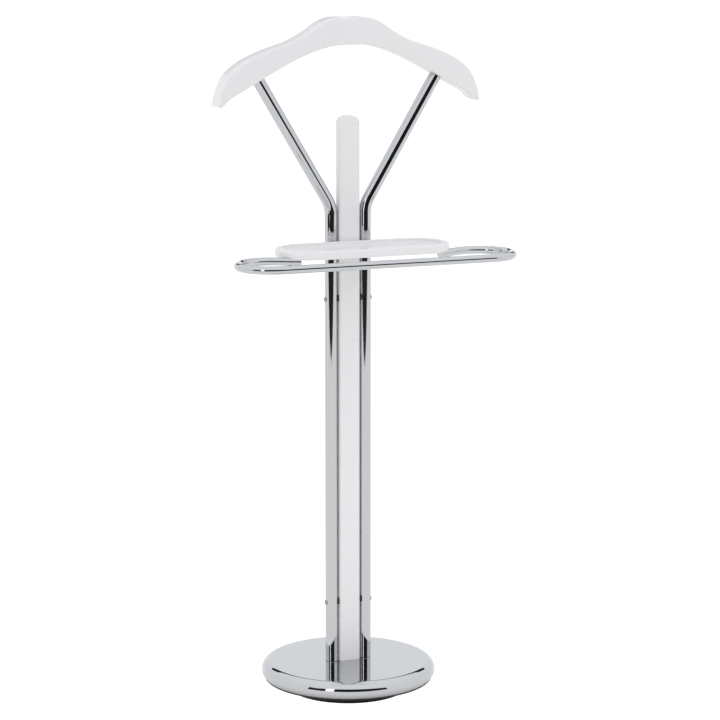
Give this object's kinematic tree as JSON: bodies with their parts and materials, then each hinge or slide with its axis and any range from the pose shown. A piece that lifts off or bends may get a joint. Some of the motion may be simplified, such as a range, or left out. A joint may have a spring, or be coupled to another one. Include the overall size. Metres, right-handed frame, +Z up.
{
  "type": "valet stand",
  "caption": "Floor-standing valet stand: round weighted base, twin tube column with centre board, small tray with trouser rail, and a shaped jacket hanger on top.",
  "frame": {"origin": "on the floor, on the vertical axis of the round base", "axes": "+Z up, +X along the hanger and the trouser rail, -Y towards the front, where the tray and the rail are"},
  "size_m": [0.4638, 0.3208, 1.0876],
  "materials": {
    "chrome_plate": "bright chrome plating, polished",
    "white_lacquer": "smooth white satin lacquer over wood",
    "black_plastic": "fine matte black moulding",
    "black_steel": "black paint on pressed steel",
    "zinc_steel": "bright zinc plating",
    "chrome_screw": "chrome plated steel",
    "cast_weight": "raw casting, hidden inside the base",
    "brass": "plain turned brass",
    "beech": "raw beech, hidden"
  },
  "bodies": {
    "root": {"base_shell": "chrome_plate", "base_weight": "cast_weight", "base_plate": "black_steel", "plate_screws": "zinc_steel", "foot_cup": "black_plastic", "foot_screws": "zinc_steel", "tube_bolts": "zinc_steel", "board_bolts": "zinc_steel", "bolt_washers": "zinc_steel", "tube_foot_plugs": "zinc_steel", "left_tube": "chrome_plate", "right_tube": "chrome_plate", "left_side_screws": "chrome_screw", "right_side_screws": "chrome_screw", "side_spacers": "black_plastic", "center_board": "white_lacquer", "board_side_inserts": "brass", "board_foot_inserts": "brass", "tray": "white_lacquer", "tray_packer": "black_plastic", "tray_screws": "zinc_steel", "tray_dowel": "beech", "trouser_rail": "chrome_plate", "rail_end_plugs": "chrome_plate", "rail_screws": "zinc_steel", "hanger": "white_lacquer", "tube_top_plugs": "zinc_steel", "hanger_studs": "zinc_steel"}
  },
  "joints": []
}
